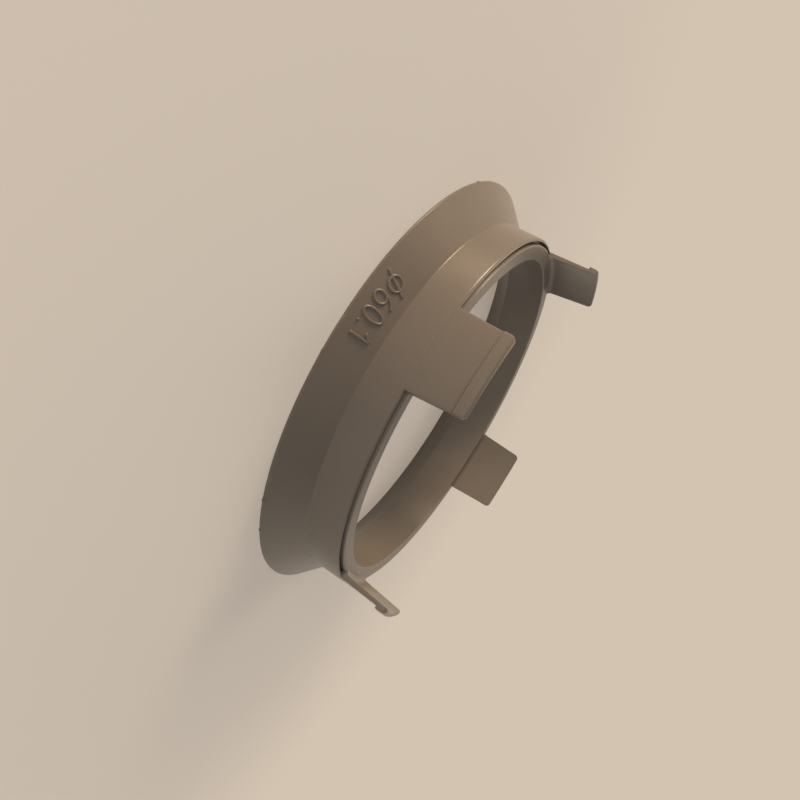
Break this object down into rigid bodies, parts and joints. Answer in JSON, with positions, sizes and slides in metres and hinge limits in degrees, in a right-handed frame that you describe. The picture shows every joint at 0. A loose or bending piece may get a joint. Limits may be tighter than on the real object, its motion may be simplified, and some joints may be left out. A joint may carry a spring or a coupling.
{
  "type": "hub centric ring",
  "caption": "Moulded ring that centres a car wheel on a smaller hub: conical flange, plain sleeve, grooved front edge and barbed snap clips round the front.",
  "frame": {"origin": "centre of the rear face of the flange, which is the lowest plane of the ring as it stands", "axes": "+Z along the ring's axis from the flange towards the clips, +X through the middle of one clip"},
  "size_m": [0.077, 0.077, 0.0198],
  "materials": {
    "grey_plastic": "satin, as moulded"
  },
  "bodies": {
    "root": {"centring_ring": "grey_plastic"}
  },
  "joints": []
}
